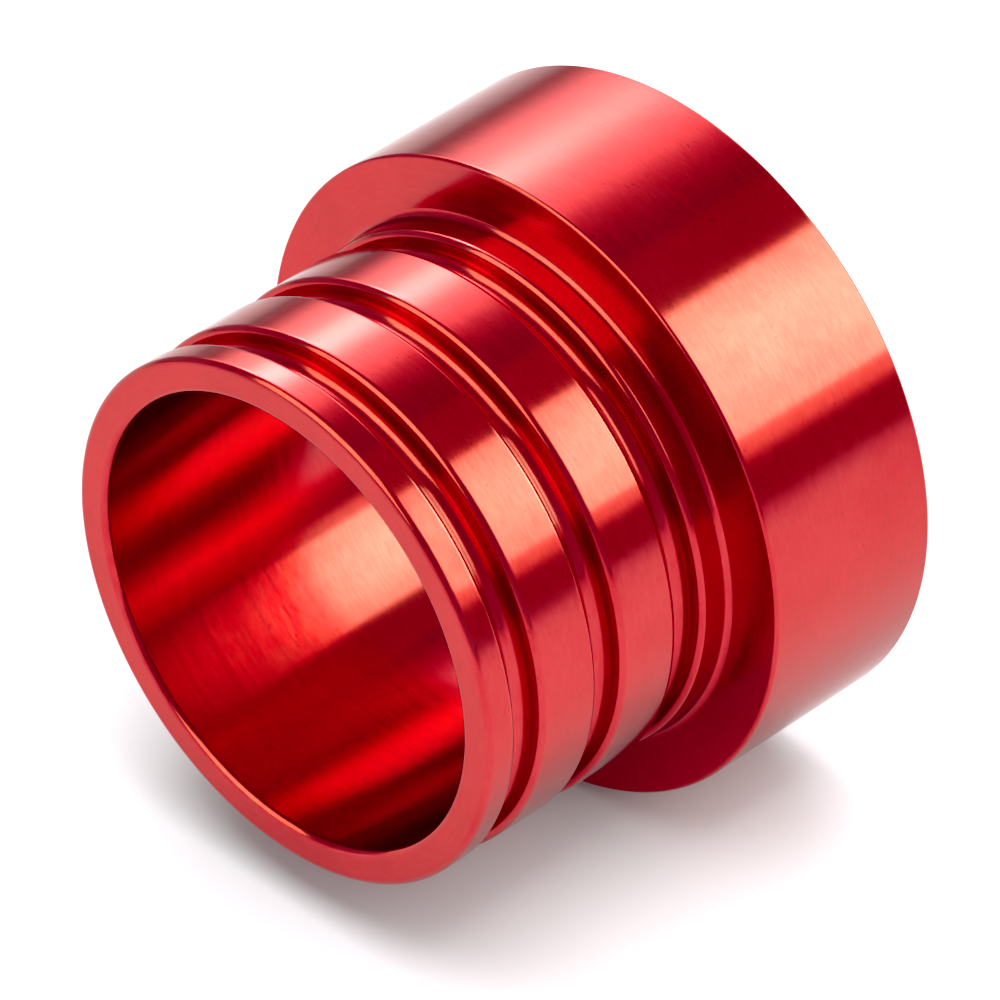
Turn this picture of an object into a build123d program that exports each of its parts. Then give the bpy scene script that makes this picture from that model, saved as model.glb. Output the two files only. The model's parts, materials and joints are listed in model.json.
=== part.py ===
from build123d import *
from math import cos, radians, sin
import os

# Grooved shaft collar, lying on its side.
# +Z is up and +Y runs along the bore, from the sleeve's free end to the back of the head.
# The origin is on the bore's axis, in the plane of the shoulder where the sleeve meets the head.

# Turned body
bore_diameter = 30.0
sleeve_diameter = 34.6
head_diameter = 42.5
sleeve_length = 20.0
head_length = 13.2

# Three ring grooves round the sleeve
groove_count = 3
groove_width = 2.05
groove_depth = 1.7
groove_pitch = 6.7
first_groove_from_end = 3.3
groove_floor_fillet = 0.9

# Edges left by the turning tool
sleeve_edge_round = 0.45
bore_edge_round = 0.45
head_edge_round = 0.25
shoulder_fillet = 0.5

# M5 x 0.8 set screw and the soft pad under it
screw_angle = -45.0
thread_diameter = 5.0
thread_clearance = 0.05
screw_length = 4.0
screw_end_chamfer = 0.4
socket_across_flats = 2.5
socket_depth = 2.0
socket_drill_cone = 0.6
pad_diameter = 4.0
pad_thickness = 1.5
pad_edge_chamfer = 0.2
pad_to_shaft_gap = 0.2
hole_mouth_chamfer = 0.25

# Worked out from the dimensions above
bore_radius = bore_diameter / 2
sleeve_radius = sleeve_diameter / 2
head_radius = head_diameter / 2
groove_floor_radius = sleeve_radius - groove_depth
groove_centres = [-sleeve_length + first_groove_from_end + i * groove_pitch for i in range(groove_count)]
pad_inner_radius = bore_radius + pad_to_shaft_gap
pad_outer_radius = pad_inner_radius + pad_thickness
screw_outer_radius = pad_outer_radius + screw_length

# Plane on the bore's axis at the middle of the head, facing out along the set screw.
# The screw's angle is measured up from the -X direction.
outward = (-cos(radians(screw_angle)), 0, sin(radians(screw_angle)))
screw_plane = Plane(origin=(0, head_length / 2, 0), x_dir=(0, 1, 0), z_dir=outward)


def corners_at(sketch, radius, low, high):
    """Corners of the half section at one radius, between two heights along the axis."""
    return [
        corner
        for corner in sketch.vertices()
        if abs(corner.X - radius) < 1e-6 and low - 1e-6 < corner.Y < high + 1e-6
    ]


def finish(piece, name):
    """Label a finished piece and write it to its own STEP file."""
    piece.label = name
    export_step(piece, f"parts/{name}.step")


os.makedirs("parts", exist_ok=True)

# Collar: the half section is drawn in the XY plane, with X as radius, and turned about Y
with BuildPart() as collar_body:
    with BuildSketch(Plane.XY) as half_section:
        with BuildLine():
            Polyline(
                (bore_radius, -sleeve_length),
                (sleeve_radius, -sleeve_length),
                (sleeve_radius, 0),
                (head_radius, 0),
                (head_radius, head_length),
                (bore_radius, head_length),
                close=True,
            )
        make_face()
        with Locations(*[(sleeve_radius - groove_depth / 2, centre) for centre in groove_centres]):
            Rectangle(groove_depth, groove_width, mode=Mode.SUBTRACT)
        groove_floors = corners_at(half_section, groove_floor_radius, -sleeve_length, 0)
        fillet(groove_floors, groove_floor_fillet)
        land_edges = corners_at(half_section, sleeve_radius, -sleeve_length, -shoulder_fillet)
        fillet(land_edges, sleeve_edge_round)
        shoulder_corner = corners_at(half_section, sleeve_radius, 0, 0)
        fillet(shoulder_corner, shoulder_fillet)
        head_edges = corners_at(half_section, head_radius, 0, head_length)
        fillet(head_edges, head_edge_round)
        bore_edges = corners_at(half_section, bore_radius, -sleeve_length, head_length)
        fillet(bore_edges, bore_edge_round)
    revolve(axis=Axis.Y)

    # Tapped hole, straight through the head's wall, with a small countersink at its mouth
    with BuildSketch(screw_plane.offset(bore_radius / 2)):
        Circle(thread_diameter / 2)
    extrude(amount=head_radius, mode=Mode.SUBTRACT)
    with BuildSketch(screw_plane.offset(head_radius - 2 * hole_mouth_chamfer)):
        Circle(thread_diameter / 2)
    extrude(amount=4 * hole_mouth_chamfer, taper=-45, mode=Mode.SUBTRACT)

finish(collar_body.part, "collar_body")

# Soft pad: its inner end is hollowed to the shaft's radius, so it seats when it is driven in
with BuildPart() as brass_pad:
    with BuildSketch(screw_plane.offset(bore_radius - pad_thickness)):
        Circle(pad_diameter / 2)
    extrude(amount=pad_outer_radius - bore_radius + pad_thickness)
    end_rims = brass_pad.edges().filter_by(GeomType.CIRCLE)
    outer_rim = end_rims.sort_by_distance(screw_plane.offset(head_radius).origin)[0]
    chamfer(outer_rim, pad_edge_chamfer)
    saddle_centre = screw_plane.offset(pad_to_shaft_gap).origin
    with Locations(Location(saddle_centre, (90, 0, 0))):
        Cylinder(bore_radius, 2 * pad_diameter, mode=Mode.SUBTRACT)

finish(brass_pad.part, "brass_pad")

# Socket set screw with a flat point: the thread is its plain outside diameter
with BuildPart() as set_screw:
    with BuildSketch(screw_plane.offset(pad_outer_radius)):
        Circle(thread_diameter / 2 - thread_clearance)
    extrude(amount=screw_length)
    chamfer(set_screw.edges().filter_by(GeomType.CIRCLE), screw_end_chamfer)
    with BuildSketch(screw_plane.offset(screw_outer_radius)):
        RegularPolygon(socket_across_flats / 2, 6, major_radius=False)
    extrude(amount=-socket_depth, mode=Mode.SUBTRACT)
    with BuildSketch(screw_plane.offset(screw_outer_radius - socket_depth)):
        Circle(socket_across_flats / 2)
    extrude(amount=-socket_drill_cone, taper=60, mode=Mode.SUBTRACT)

finish(set_screw.part, "set_screw")
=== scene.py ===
import json
import math

import bmesh
import bpy
from mathutils import Matrix, Vector


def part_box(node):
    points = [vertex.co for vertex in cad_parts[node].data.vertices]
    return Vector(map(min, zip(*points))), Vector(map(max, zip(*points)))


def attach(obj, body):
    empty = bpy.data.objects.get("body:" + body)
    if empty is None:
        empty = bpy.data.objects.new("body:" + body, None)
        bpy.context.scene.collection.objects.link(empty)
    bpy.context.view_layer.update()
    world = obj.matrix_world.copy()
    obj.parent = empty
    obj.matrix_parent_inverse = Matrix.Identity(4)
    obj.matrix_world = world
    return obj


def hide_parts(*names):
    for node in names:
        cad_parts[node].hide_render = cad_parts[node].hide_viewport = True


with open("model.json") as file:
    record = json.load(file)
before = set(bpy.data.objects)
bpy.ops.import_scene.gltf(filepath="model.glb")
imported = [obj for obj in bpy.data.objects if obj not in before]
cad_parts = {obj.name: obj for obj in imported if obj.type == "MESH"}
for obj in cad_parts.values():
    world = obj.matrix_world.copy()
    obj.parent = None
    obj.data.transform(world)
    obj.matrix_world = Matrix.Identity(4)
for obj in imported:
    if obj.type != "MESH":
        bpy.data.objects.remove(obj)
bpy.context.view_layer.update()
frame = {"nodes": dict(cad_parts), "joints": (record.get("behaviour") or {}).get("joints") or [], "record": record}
scene = bpy.context.scene
scene.view_settings.view_transform = "Standard"
scene.view_settings.use_curve_mapping = True

# The metal's darks are nearly pure red, so the curves press green and blue down near black

contrast = scene.view_settings.curve_mapping
for channel, darks in enumerate((0.017, 0.001, 0.010)):
    contrast.curves[channel].points.new(0.02, darks)
    contrast.curves[channel].points.new(0.07, 0.068)
contrast.update()

MM = 0.001

# Sizes that the frame gives, in metres

body_low, body_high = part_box("collar_body")
mounts = {mount["name"]: mount for mount in frame["record"]["mounts"]}
joints = {joint["name"]: joint for joint in frame["joints"]}

sleeve_end = body_low.y
head_back = body_high.y
head_radius = body_high.x
floor_height = body_low.z
bore_radius = mounts["shaft_bore"]["dims"]["r_mm"] * MM
sleeve_radius = mounts["sleeve_outside"]["dims"]["r_mm"] * MM
screw_outward = Vector(joints["screw_travel"]["axis"]).normalized()
pad_outer = Vector(joints["screw_turn"]["pos_m"])
screw_foot = Vector((0, pad_outer.y, 0))
pad_outer_radius = (pad_outer - screw_foot).length

# Details of the turned body, as in the part's source

groove_centres = [-16.7 * MM, -10.0 * MM, -3.3 * MM]
groove_width = 2.05 * MM
groove_depth = 1.7 * MM
groove_floor_fillet = 0.9 * MM
sleeve_edge_round = 0.45 * MM
bore_edge_round = 0.45 * MM
head_edge_round = 0.25 * MM
shoulder_fillet = 0.5 * MM
hole_mouth_chamfer = 0.25 * MM
countersink_foot = head_radius - 2 * hole_mouth_chamfer

# M5 x 0.8 screw, its thread and its pad

thread_pitch = 0.8 * MM
thread_radius = 2.5 * MM
thread_crest_half_flat = thread_pitch / 16
thread_flank_slope = math.tan(math.radians(60))
tapped_crest_radius = 2.067 * MM
screw_crest_radius = 2.45 * MM
screw_root_radius = 1.96 * MM
screw_flank_clearance = 0.06 * MM
screw_length = 4.0 * MM
screw_chamfer = 0.4 * MM
socket_flat_radius = 1.25 * MM
socket_depth = 2.0 * MM
socket_mouth_chamfer = 0.12 * MM
socket_drill_depth = 0.6 * MM
socket_drill_tip = 0.2 * MM
pad_radius = 2.0 * MM
pad_edge_chamfer = 0.2 * MM
pad_to_shaft_gap = 0.2 * MM
SCREW_SIDE = Vector((0, 1, 0))
SCREW_ACROSS = screw_outward.cross(SCREW_SIDE)

# Half heights of the windows round the screw hole on the head's outside and in the bore,
# then the rings of the patches that fill them, and those of the pad's hollow end

outer_window = 4.1 * MM
inner_window = 2.95 * MM
PATCH_SHARES = (0.3, 0.6, 0.85, 1.0)
PAD_END_SHARES = (0.02, 0.25, 0.5, 0.75, 1)

# Fineness of the meshes: a window round the screw hole is WINDOW_STEPS steps wide and high

LATHE_STEPS = 256
ARC_STEPS = 8
WINDOW_STEPS = 16
HOLE_STEPS = 4 * WINDOW_STEPS
HOLE_EDGE_PASSES = 8
SCREW_STEPS = 96
outline_spacing = 1.5 * MM
hole_ring_spacing = 0.05 * MM
first_hole_ring = bore_radius + 0.1 * MM
screw_ring_spacing = 0.025 * MM

# Edges sharper than this are shaded as edges, in degrees

BODY_SHARP_ANGLE = 25
SCREW_SHARP_ANGLE = 25
PAD_SHARP_ANGLE = 30


# ------------------------------------------------------------------ meshes


def add_object(name, mesh):
    obj = bpy.data.objects.new(name, mesh)
    scene.collection.objects.link(obj)
    return obj


def smooth_mesh(name, vertices, faces, sharp_angle):
    """Closed mesh with its faces outward, shaded smooth except over sharp edges."""
    mesh = bpy.data.meshes.new(name)
    mesh.from_pydata(vertices, [], faces)
    solid = bmesh.new()
    solid.from_mesh(mesh)
    bmesh.ops.recalc_face_normals(solid, faces=solid.faces)
    solid.to_mesh(mesh)
    solid.free()
    mesh.shade_smooth()
    mesh.set_sharp_from_angle(angle=math.radians(sharp_angle))
    return mesh


def band(ring, following):
    """Faces between two closed rings of vertex numbers."""
    count = len(ring)
    faces = []
    for index in range(count):
        beside = (index + 1) % count
        faces.append((ring[index], ring[beside], following[beside], following[index]))
    return faces


def around_screw(radius, angle, distance):
    """Point at a radius and an angle round the screw's axis, at a distance from the collar's axis."""
    arm = SCREW_SIDE * math.cos(angle) + SCREW_ACROSS * math.sin(angle)
    return screw_foot + screw_outward * distance + arm * radius


def rounded_outline(corners):
    """Points of a closed outline, as (radius, height, normal), with its corners rounded.

    Corners are (radius, height, rounding) and run with the material on their left.
    """
    outline = []
    count = len(corners)
    for index, (radius, height, rounding) in enumerate(corners):
        corner = Vector((radius, height))
        before = (Vector(corners[index - 1][:2]) - corner).normalized()
        after = (Vector(corners[(index + 1) % count][:2]) - corner).normalized()
        if rounding == 0:
            outline.append((radius, height, Vector((after.y, -after.x))))
            continue
        half_angle = before.angle(after) / 2
        centre = corner + (before + after).normalized() * rounding / math.sin(half_angle)
        start = corner + before * rounding / math.tan(half_angle) - centre
        end = corner + after * rounding / math.tan(half_angle) - centre
        outward = 1 if before.x * after.y - before.y * after.x < 0 else -1
        for step in range(ARC_STEPS + 1):
            arm = start.slerp(end, step / ARC_STEPS).normalized()
            point = centre + arm * rounding
            outline.append((point.x, point.y, arm * outward))
    return outline


def with_midpoints(outline, spacing):
    """The outline with its long straight stretches cut to about the given spacing."""
    points = []
    for index, (radius, height, normal) in enumerate(outline):
        points.append((radius, height, normal))
        next_radius, next_height, _ = outline[(index + 1) % len(outline)]
        length = math.hypot(next_radius - radius, next_height - height)
        cuts = int(length / spacing)
        for cut in range(1, cuts + 1):
            share = cut / (cuts + 1)
            middle_radius = radius + (next_radius - radius) * share
            middle_height = height + (next_height - height) * share
            points.append((middle_radius, middle_height, normal))
    return points


def window_rows(half_height):
    """Heights of the lathe's rows across the window round the screw hole, on one wall."""
    return [
        screw_foot.y + half_height * (2 * row / WINDOW_STEPS - 1)
        for row in range(WINDOW_STEPS + 1)
    ]


def collar_outline():
    """Half section of the turned body."""
    corners = [
        (bore_radius, sleeve_end, bore_edge_round),
        (sleeve_radius, sleeve_end, sleeve_edge_round),
    ]
    for centre in groove_centres:
        near = centre - groove_width / 2
        far = centre + groove_width / 2
        floor_radius = sleeve_radius - groove_depth
        corners += [
            (sleeve_radius, near, sleeve_edge_round),
            (floor_radius, near, groove_floor_fillet),
            (floor_radius, far, groove_floor_fillet),
            (sleeve_radius, far, sleeve_edge_round),
        ]
    corners += [
        (sleeve_radius, 0.0, shoulder_fillet),
        (head_radius, 0.0, head_edge_round),
    ]
    corners += [(head_radius, height, 0) for height in window_rows(outer_window)]
    corners += [
        (head_radius, head_back, head_edge_round),
        (bore_radius, head_back, bore_edge_round),
    ]
    corners += [(bore_radius, height, 0) for height in reversed(window_rows(inner_window))]
    return with_midpoints(rounded_outline(corners), outline_spacing)


def row_number(outline, radius, height):
    for number, (point_radius, point_height, _) in enumerate(outline):
        if abs(point_radius - radius) + abs(point_height - height) < 1e-9:
            return number
    raise ValueError("the outline has no row there")


def window_border(rows, columns):
    """Lathe vertices, as (row, column), in order round a window in the lathe's grid."""
    border = [(rows[0], column) for column in columns[:-1]]
    border += [(row, columns[-1]) for row in rows[:-1]]
    border += [(rows[-1], column) for column in reversed(columns[1:])]
    border += [(row, columns[0]) for row in reversed(rows[1:])]
    return border


def on_wall(wall_radius, along, across):
    """Point on a wall of the collar, at a place seen along the screw's axis."""
    distance = math.sqrt(wall_radius**2 - across**2)
    return screw_foot + screw_outward * distance + SCREW_SIDE * along + SCREW_ACROSS * across


def hole_edge_radius(wall_radius, angle):
    """Radius of the tapped hole where it meets a wall, in one direction from its axis.

    The radius depends on where the edge is and the other way round, so a few passes settle it.
    """
    distance = wall_radius
    for _ in range(HOLE_EDGE_PASSES):
        radius = tapped_radius(angle, distance)
        distance = math.sqrt(wall_radius**2 - (radius * math.sin(angle)) ** 2)
    return radius


def lathed_points(outline):
    """Vertices of the outline turned round the collar's axis, and the normals there."""
    vertices = []
    normals = []
    for radius, height, normal in outline:
        for step in range(LATHE_STEPS):
            angle = 2 * math.pi * step / LATHE_STEPS
            turn = Vector((math.sin(angle), 0, math.cos(angle)))
            vertices.append(turn * radius + Vector((0, height, 0)))
            normals.append(turn * normal.x + Vector((0, normal.y, 0)))
    return vertices, normals


def lathed_faces(outline, windows, columns):
    """Faces of the turned outline, without those in the windows round the screw hole."""
    faces = []
    for row in range(len(outline)):
        cut_row = any(rows[0] <= row < rows[-1] for _, rows in windows)
        for step in range(LATHE_STEPS):
            if cut_row and columns[0] <= step < columns[-1]:
                continue
            beside = (step + 1) % LATHE_STEPS
            start = row * LATHE_STEPS
            following = (row + 1) % len(outline) * LATHE_STEPS
            faces.append((start + step, start + beside, following + beside, following + step))
    return faces


def window_columns():
    """Columns of the lathe's grid across the windows round the screw hole."""
    hole_angle = math.atan2(screw_outward.x, screw_outward.z) % (2 * math.pi)
    middle = round(hole_angle / (2 * math.pi) * LATHE_STEPS)
    return [middle + step - WINDOW_STEPS // 2 for step in range(WINDOW_STEPS + 1)]


def add_patch(wall_radius, border, vertices, normals, faces):
    """Fill a window from its border to the hole's edge, and return the edge's ring and angles."""
    places = []
    for vertex in border:
        arm = vertices[vertex] - screw_foot
        places.append((arm.dot(SCREW_SIDE), arm.dot(SCREW_ACROSS)))
    bearings = [math.atan2(across, along) for along, across in places]
    order = sorted(range(HOLE_STEPS), key=bearings.__getitem__)
    ring = [border[index] for index in order]
    outer = [places[index] for index in order]
    angles = [bearings[index] for index in order]
    reach = [hole_edge_radius(wall_radius, angle) for angle in angles]
    sign = 1 if wall_radius == head_radius else -1
    for share in PATCH_SHARES:
        following = []
        for (along, across), angle, radius in zip(outer, angles, reach):
            point = on_wall(
                wall_radius,
                along + (radius * math.cos(angle) - along) * share,
                across + (radius * math.sin(angle) - across) * share,
            )
            following.append(len(vertices))
            vertices.append(point)
            normals.append(Vector((point.x, 0, point.z)).normalized() * sign)
        faces.extend(band(ring, following))
        ring = following
    return ring, angles


def add_tapped_wall(outer_edge, inner_edge, angles, vertices, faces):
    """The hole's threaded wall, from its edge on the head's outside to its edge in the bore."""
    ring = outer_edge
    for distance in reversed(evenly(first_hole_ring, countersink_foot, hole_ring_spacing)):
        following = []
        for angle in angles:
            following.append(len(vertices))
            vertices.append(around_screw(tapped_radius(angle, distance), angle, distance))
        faces.extend(band(ring, following))
        ring = following
    faces.extend(band(ring, inner_edge))


def turned_body():
    """The collar's turned body: a lathed outline with a tapped hole through the head's wall."""
    outline = collar_outline()
    vertices, normals = lathed_points(outline)
    columns = window_columns()
    windows = []
    for wall_radius, half_height in ((head_radius, outer_window), (bore_radius, inner_window)):
        heights = window_rows(half_height)
        rows = sorted(row_number(outline, wall_radius, height) for height in heights)
        windows.append((wall_radius, rows))
    faces = lathed_faces(outline, windows, columns)

    edges = []
    for wall_radius, rows in windows:
        border = [row * LATHE_STEPS + column for row, column in window_border(rows, columns)]
        edges.append(add_patch(wall_radius, border, vertices, normals, faces))
    (outer_edge, angles), (inner_edge, _) = edges
    wall_faces_start = len(faces)
    add_tapped_wall(outer_edge, inner_edge, angles, vertices, faces)

    mesh = smooth_mesh("turned_body", vertices, faces, BODY_SHARP_ANGLE)
    loop_normals = [Vector(corner.vector) for corner in mesh.corner_normals]
    for polygon in mesh.polygons:
        if polygon.index < wall_faces_start:
            for loop in polygon.loop_indices:
                loop_normals[loop] = normals[mesh.loops[loop].vertex_index]
    mesh.normals_split_custom_set(loop_normals)
    return add_object("collar_turned", mesh)


def stack_of_rings(name, rings, steps, sharp_angle):
    """Closed solid along the screw's axis, from rings of points and a cap at each end.

    A ring is a function of the angle that gives (radius, distance from the collar's axis).
    """
    vertices = []
    for ring in rings:
        for step in range(steps):
            angle = 2 * math.pi * step / steps
            radius, distance = ring(angle)
            vertices.append(around_screw(radius, angle, distance))
    numbers = [range(index * steps, (index + 1) * steps) for index in range(len(rings))]
    faces = []
    for ring, following in zip(numbers, numbers[1:]):
        faces.extend(band(ring, following))
    faces.append(tuple(reversed(numbers[0])))
    faces.append(tuple(numbers[-1]))
    return add_object(name, smooth_mesh(name, vertices, faces, sharp_angle))


def flat_ring(radius, distance):
    return lambda angle: (radius, distance)


def thread_reach(angle, distance, clearance):
    """Radius of the thread's flank before it is cut off at its crest and root."""
    turns = distance / thread_pitch - angle / (2 * math.pi)
    from_crest = abs(turns - round(turns)) * thread_pitch
    return thread_radius - thread_flank_slope * (from_crest - thread_crest_half_flat) - clearance


def tapped_radius(angle, distance):
    """Radius of the tapped hole's wall, with its countersink at the mouth."""
    thread = min(max(thread_reach(angle, distance, 0), tapped_crest_radius), thread_radius)
    return max(thread, thread_radius + distance - countersink_foot)


def screw_ring(distance):
    """Ring of the screw's outside, with a chamfer at each end."""
    from_end = min(distance - pad_outer_radius, pad_outer_radius + screw_length - distance)
    chamfer_radius = screw_crest_radius - screw_chamfer + from_end

    def ring(angle):
        radius = thread_reach(angle, distance, screw_flank_clearance)
        return min(max(radius, screw_root_radius), screw_crest_radius, chamfer_radius), distance

    return ring


def hexagon_ring(flat_radius, distance):
    """Ring round a hexagonal socket."""

    def ring(angle):
        from_flat = (angle + math.pi / 6) % (math.pi / 3) - math.pi / 6
        return flat_radius / math.cos(from_flat), distance

    return ring


def saddle_ring(radius):
    """Ring on the pad's hollow inner end."""

    def ring(angle):
        across_shaft = radius * math.sin(angle)
        return radius, pad_to_shaft_gap + math.sqrt(bore_radius**2 - across_shaft**2)

    return ring


def evenly(low, high, spacing):
    count = math.ceil((high - low) / spacing)
    return [low + (high - low) * index / count for index in range(count + 1)]


def threaded_screw():
    outer_end = pad_outer_radius + screw_length
    distances = evenly(pad_outer_radius, outer_end, screw_ring_spacing)
    rings = [screw_ring(distance) for distance in distances]
    rings += [
        hexagon_ring(socket_flat_radius + socket_mouth_chamfer, outer_end),
        hexagon_ring(socket_flat_radius, outer_end - socket_mouth_chamfer),
        hexagon_ring(socket_flat_radius, outer_end - socket_depth),
        flat_ring(socket_flat_radius, outer_end - socket_depth),
        flat_ring(socket_drill_tip, outer_end - socket_depth - socket_drill_depth),
    ]
    return stack_of_rings("screw_threaded", rings, SCREW_STEPS, SCREW_SHARP_ANGLE)


def turned_pad():
    rings = [saddle_ring(pad_radius * share) for share in PAD_END_SHARES]
    rings += [
        flat_ring(pad_radius, pad_outer_radius - pad_edge_chamfer),
        flat_ring(pad_radius - pad_edge_chamfer, pad_outer_radius),
        flat_ring(pad_radius * 0.5, pad_outer_radius),
    ]
    return stack_of_rings("pad_turned", rings, HOLE_STEPS, PAD_SHARP_ANGLE)


# --------------------------------------------------------------- materials


class Tree:
    """A new material and short ways to add nodes to it."""

    def __init__(self, name):
        self.material = bpy.data.materials.new(name)
        self.material.use_nodes = True
        self.nodes = self.material.node_tree.nodes
        self.links = self.material.node_tree.links
        self.nodes.clear()
        self.output = self.nodes.new("ShaderNodeOutputMaterial")
        self.shader = self.nodes.new("ShaderNodeBsdfPrincipled")
        self.finish_with(self.shader)
        self.position = self.nodes.new("ShaderNodeTexCoord").outputs["Object"]

    def finish_with(self, shader):
        self.links.new(shader.outputs[0], self.output.inputs["Surface"])

    def set(self, socket, value):
        self.shader.inputs[socket].default_value = value

    def math(self, operation, first, second=None):
        node = self.nodes.new("ShaderNodeMath")
        node.operation = operation
        for socket, value in zip(node.inputs, (first, second)):
            if isinstance(value, (int, float)):
                socket.default_value = value
            elif value is not None:
                self.links.new(value, socket)
        return node.outputs[0]

    def parts(self, vector):
        node = self.nodes.new("ShaderNodeSeparateXYZ")
        self.links.new(vector, node.inputs[0])
        return node.outputs

    def joined(self, x, y, z):
        node = self.nodes.new("ShaderNodeCombineXYZ")
        for socket, value in zip(node.inputs, (x, y, z)):
            self.links.new(value, socket)
        return node.outputs[0]

    def noise(self, scale, detail=2.0, roughness=0.5, along=None, space=None):
        """Noise in space, or in one dimension where a value to follow is given."""
        node = self.nodes.new("ShaderNodeTexNoise")
        node.inputs["Scale"].default_value = scale
        node.inputs["Detail"].default_value = detail
        node.inputs["Roughness"].default_value = roughness
        if along is None:
            self.links.new(space or self.position, node.inputs["Vector"])
        else:
            node.noise_dimensions = "1D"
            self.links.new(along, node.inputs["W"])
        return node.outputs["Fac"]

    def ranged(self, value, low, high, start=0.25, end=0.75):
        node = self.nodes.new("ShaderNodeMapRange")
        node.inputs["From Min"].default_value = start
        node.inputs["From Max"].default_value = end
        node.inputs["To Min"].default_value = low
        node.inputs["To Max"].default_value = high
        self.links.new(value, node.inputs["Value"])
        return node.outputs["Result"]

    def smooth(self, value, start, end, low, high):
        result = self.ranged(value, low, high, start, end)
        result.node.interpolation_type = "SMOOTHSTEP"
        return result

    def ramp(self, value, *stops):
        node = self.nodes.new("ShaderNodeValToRGB")
        elements = node.color_ramp.elements
        while len(elements) < len(stops):
            elements.new(0.5)
        for element, (position, colour) in zip(elements, stops):
            element.position = position
            element.color = (*colour, 1)
        self.links.new(value, node.inputs["Fac"])
        return node.outputs["Color"]

    def bump(self, height, strength, distance):
        node = self.nodes.new("ShaderNodeBump")
        node.inputs["Strength"].default_value = strength
        node.inputs["Distance"].default_value = distance
        self.links.new(height, node.inputs["Height"])
        self.links.new(node.outputs["Normal"], self.shader.inputs["Normal"])

    def feed(self, socket, value):
        self.links.new(value, self.shader.inputs[socket])


def red_anodised():
    """Red dye in clear anodising over fine turning lines, which run round the collar's axis."""
    tree = Tree("anodised_red")
    tree.set("Metallic", 0.95)
    tree.set("Specular Tint", (0.45, 0.10, 0.12, 1))
    tree.set("Anisotropic Rotation", 0.25)
    tree.set("Coat Weight", 0.56)
    tree.set("Coat IOR", 1.5)
    tree.set("Coat Roughness", 0.12)
    x, y, z = tree.parts(tree.position)
    squares = tree.math("ADD", tree.math("MULTIPLY", x, x), tree.math("MULTIPLY", z, z))
    radius = tree.math("SQRT", squares)
    along_outline = tree.math("ADD", radius, y)
    lines = tree.noise(9000, 2.0, 0.5, along_outline)
    feed_marks = tree.noise(1500, 2.0, 0.5, along_outline)
    stretch = 5.0
    drawn_out = tree.joined(
        tree.math("DIVIDE", x, stretch), along_outline, tree.math("DIVIDE", z, stretch)
    )
    dashes = tree.noise(5500, 2.0, 0.5, space=drawn_out)
    cloud = tree.noise(140, 4.0, 0.6)
    specks = tree.ranged(tree.noise(3000, 1.0), 0.0, 0.6, 0.71, 0.79)
    shade = tree.math("ADD", tree.math("MULTIPLY", cloud, 0.6), tree.math("MULTIPLY", dashes, 0.4))
    colour = tree.ramp(
        tree.math("SUBTRACT", shade, specks),
        (0.1, (0.30, 0.004, 0.008)),
        (0.38, (0.41, 0.003, 0.007)),
        (0.62, (0.47, 0.017, 0.020)),
    )
    tree.feed("Base Color", colour)
    tree.feed("Roughness", tree.ranged(feed_marks, 0.15, 0.2))
    tree.feed("Anisotropic", tree.ranged(lines, 0.88, 0.96))
    tangent = tree.nodes.new("ShaderNodeTangent")
    tangent.direction_type = "RADIAL"
    tangent.axis = "Y"
    tree.feed("Tangent", tangent.outputs[0])
    tree.bump(tree.math("ADD", lines, dashes), 0.5, 0.0000016)
    return tree.material


def black_steel():
    """Black oxide, lighter and darker in patches."""
    tree = Tree("black_steel")
    tree.set("Metallic", 1.0)
    cloud = tree.noise(900, 4.0)
    grain = tree.noise(12000, 2.0)
    colour = tree.ramp(cloud, (0.3, (0.025, 0.026, 0.030)), (0.7, (0.06, 0.06, 0.066)))
    tree.feed("Base Color", colour)
    tree.feed("Roughness", tree.ranged(cloud, 0.28, 0.42))
    tree.bump(grain, 0.3, 0.000004)
    return tree.material


def pad_brass():
    """Turned brass with a slight tarnish."""
    tree = Tree("pad_brass")
    tree.set("Metallic", 1.0)
    cloud = tree.noise(700, 4.0)
    grain = tree.noise(9000, 2.0)
    tree.feed("Base Color", tree.ramp(cloud, (0.3, (0.62, 0.40, 0.14)), (0.7, (0.80, 0.58, 0.25))))
    tree.feed("Roughness", tree.ranged(grain, 0.2, 0.36))
    tree.bump(grain, 0.3, 0.000004)
    return tree.material


red = red_anodised()
steel = black_steel()
brass = pad_brass()

# ------------------------------------------------------------------ pieces

for node in frame["nodes"].values():
    node.data.materials.clear()
frame["nodes"]["collar_body"].data.materials.append(red)
frame["nodes"]["set_screw"].data.materials.append(steel)
frame["nodes"]["brass_pad"].data.materials.append(brass)

collar = turned_body()
collar.data.materials.append(red)
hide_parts("collar_body")
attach(collar, "collar")

screw = threaded_screw()
screw.data.materials.append(steel)
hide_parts("set_screw")
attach(screw, "screw")

pad = turned_pad()
pad.data.materials.append(brass)
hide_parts("brass_pad")
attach(pad, "pad")

# ------------------------------------------------------------------- stage


def facing(toward, distance, width_along):
    """Placement of a rectangle that faces the collar from a direction."""
    outward = Vector(toward).normalized()
    side = Vector(width_along)
    side = (side - outward * side.dot(outward)).normalized()
    turn = Matrix((side, outward.cross(side), outward)).transposed().to_4x4()
    return Matrix.Translation(outward * distance) @ turn


def rectangle(name, width, depth):
    mesh = bpy.data.meshes.new(name)
    signs = ((-1, -1), (1, -1), (1, 1), (-1, 1))
    corners = [(width / 2 * across, depth / 2 * along, 0) for across, along in signs]
    mesh.from_pydata(corners, [], [(0, 1, 2, 3)])
    return add_object(name, mesh)


def add_floor():
    floor = rectangle("floor", 8.0, 8.0)
    floor.location.z = floor_height
    tree = Tree("white_floor")
    tree.set("Base Color", (0.85, 0.85, 0.86, 1))
    tree.set("Roughness", 0.7)
    tree.set("Specular IOR Level", 0.1)
    floor.data.materials.append(tree.material)


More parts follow.
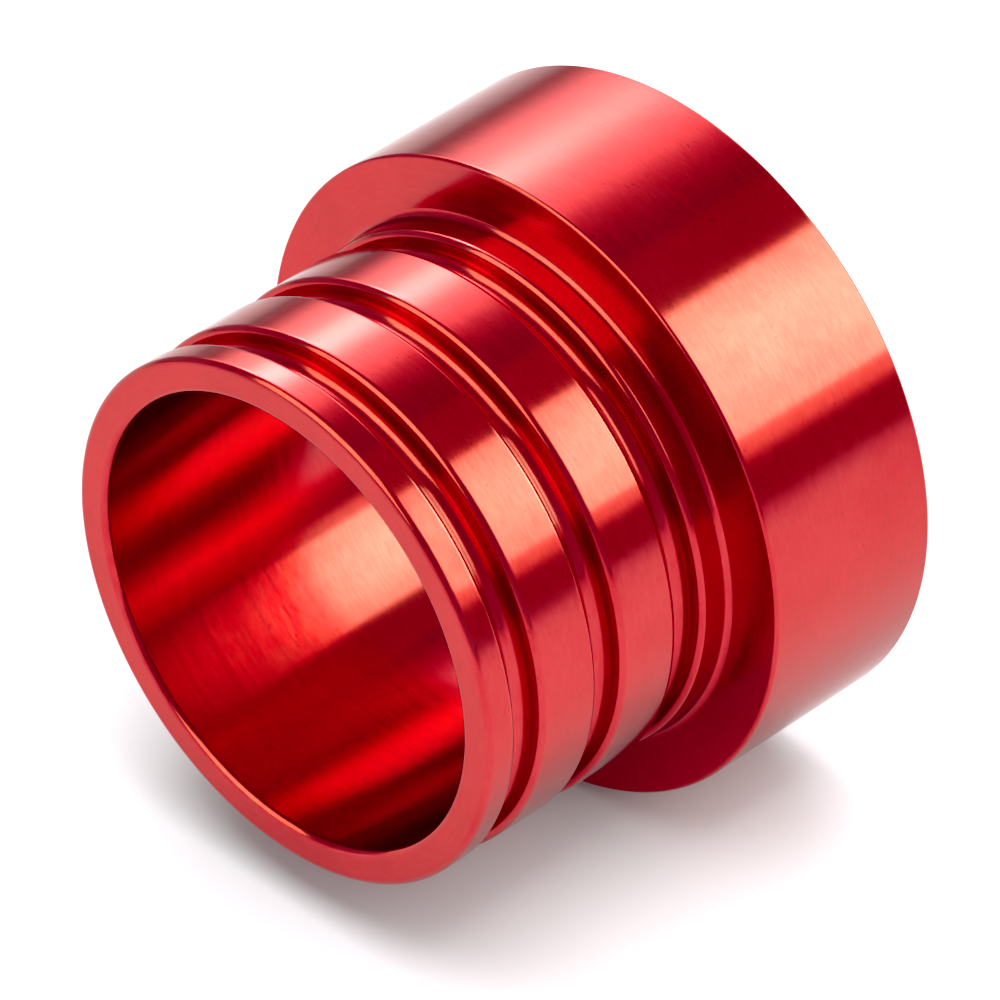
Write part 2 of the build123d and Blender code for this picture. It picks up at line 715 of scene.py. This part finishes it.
def floor_light(name, toward, distance, width, depth, radiance):
    """Soft light that the metal doesn't mirror, so that the floor and the reflections are set apart."""
    light = bpy.data.lights.new(name, "AREA")
    light.shape = "RECTANGLE"
    light.size = width
    light.size_y = depth
    light.energy = radiance * math.pi * width * depth
    obj = bpy.data.objects.new(name, light)
    obj.matrix_world = facing(toward, distance, (0, 1, 0))
    obj.visible_camera = False
    obj.visible_glossy = False
    scene.collection.objects.link(obj)


# Brightness up to which a panel has its dim colour, from which it has its bright one, and the scale's top

PANEL_DIM = 1.0
PANEL_BRIGHT = 6.0
PANEL_TOP = 10.0


def glow_panel(name, placement, width, depth, colours, dimmest, *glows):
    """Panel for the metal to reflect, whose brightness changes across and along it.

    Its two colours are those of its dim and its bright parts.
    A glow is (middle, across, along): where its middle is across the panel, then how it changes
    away from there and along the panel, each (start, end, low, high) in metres and brightness.
    """
    panel = rectangle(name, width, depth)
    panel.matrix_world = placement
    panel.visible_camera = False
    panel.visible_shadow = False
    panel.visible_diffuse = False
    tree = Tree(name)
    x, y, _ = tree.parts(tree.position)
    strength = dimmest
    for middle, across, along in glows:
        from_middle = tree.math("ABSOLUTE", tree.math("SUBTRACT", x, middle))
        glow = tree.math("MULTIPLY", tree.smooth(from_middle, *across), tree.smooth(y, *along))
        strength = tree.math("ADD", glow, strength)
    emission = tree.nodes.new("ShaderNodeEmission")
    colour = tree.ramp(
        tree.math("DIVIDE", strength, PANEL_TOP),
        (PANEL_DIM / PANEL_TOP, colours[0]),
        (PANEL_BRIGHT / PANEL_TOP, colours[1]),
    )
    tree.links.new(colour, emission.inputs["Color"])
    tree.links.new(strength, emission.inputs["Strength"])
    tree.finish_with(emission)
    panel.data.materials.append(tree.material)


def studio_world():
    """Grey studio air: lighter near the horizon, darker overhead."""
    world = bpy.data.worlds.new("studio")
    scene.world = world
    world.use_nodes = True
    nodes = world.node_tree.nodes
    links = world.node_tree.links
    nodes.clear()
    output = nodes.new("ShaderNodeOutputWorld")
    background = nodes.new("ShaderNodeBackground")
    ramp = nodes.new("ShaderNodeValToRGB")
    split = nodes.new("ShaderNodeSeparateXYZ")
    direction = nodes.new("ShaderNodeTexCoord")
    links.new(direction.outputs["Generated"], split.inputs[0])
    links.new(split.outputs["Z"], ramp.inputs["Fac"])
    links.new(ramp.outputs["Color"], background.inputs["Color"])
    links.new(background.outputs["Background"], output.inputs["Surface"])
    low, high = ramp.color_ramp.elements
    low.position = 0.0
    low.color = (0.60, 0.68, 0.77, 1)
    high.position = 0.62
    high.color = (0.34, 0.33, 0.36, 1)


add_floor()
floor_light("floor_light_right", (0.72, 0.0, 0.66), 0.9, 0.6, 0.8, 3.0)
floor_light("floor_light_back", (-0.25, 0.45, 0.85), 0.8, 0.5, 0.5, 3.0)
floor_light("floor_light_overhead", (0.10, -0.14, 1.0), 0.4, 0.35, 0.35, 5.5)
glow_panel(
    "panel_right",
    facing((0.566, 0.5616, 0.55), 0.35, (0.692, 0, -0.722)),
    0.5,
    0.32,
    ((1.15, 0.85, 0.72), (0.45, 1.0, 0.62)),
    0.45,
    (0.0, (0.02, 0.118, 6.0, 0.0), (-0.05, 0.05, 0.5, 1.5)),
    (0.0, (0.112, 0.119, 8.0, 0.0), (-0.05, 0.05, 0.5, 1.5)),
    (0.12, (0.02, 0.045, 1.6, 0.0), (-0.05, 0.05, 0.8, 1.2)),
)
glow_panel(
    "panel_back",
    facing((-0.615, 0.56, 0.555), 0.22, (0.555, 0, 0.615)),
    0.265,
    0.24,
    ((1.3, 0.98, 1.06), (0.6, 0.94, 0.86)),
    0.4,
    (0.0, (0.0, 0.122, 5.2, 0.1), (-0.06, 0.06, 1.4, 0.6)),
    (0.0, (0.0, 0.045, 14.0, 0.0), (-0.045, 0.025, 1.0, 0.0)),
)
glow_panel(
    "panel_left",
    facing((-0.24, -0.73, 0.64), 1.0, (1, 0, 0)),
    1.12,
    0.9,
    ((0.45, 0.8, 0.45), (0.45, 0.8, 0.45)),
    7.0,
    (0.0, (0.0, 0.6, 1.0, 0.0), (-0.5, 0.5, 0.8, 1.0)),
)
studio_world()

# ------------------------------------------------------------------ camera

# The photo's view, from the front right and above, through a long lens

azimuth = math.radians(44.76)
elevation = math.radians(37.73)
camera_place = Vector((0.31469, -0.31900, 0.34501))
camera_data = bpy.data.cameras.new("camera")
camera_data.sensor_width = 36.0
camera_data.lens = 339.6
camera_data.clip_start = 0.01
camera_data.clip_end = 20.0
camera = bpy.data.objects.new("camera", camera_data)
scene.collection.objects.link(camera)
toward_camera = Vector(
    (
        math.sin(azimuth) * math.cos(elevation),
        -math.cos(azimuth) * math.cos(elevation),
        math.sin(elevation),
    )
)
camera_right = Vector((math.cos(azimuth), math.sin(azimuth), 0))
camera_up = toward_camera.cross(camera_right)
camera_turn = Matrix((camera_right, camera_up, toward_camera)).transposed().to_4x4()
camera.matrix_world = Matrix.Translation(camera_place) @ camera_turn
scene.camera = camera
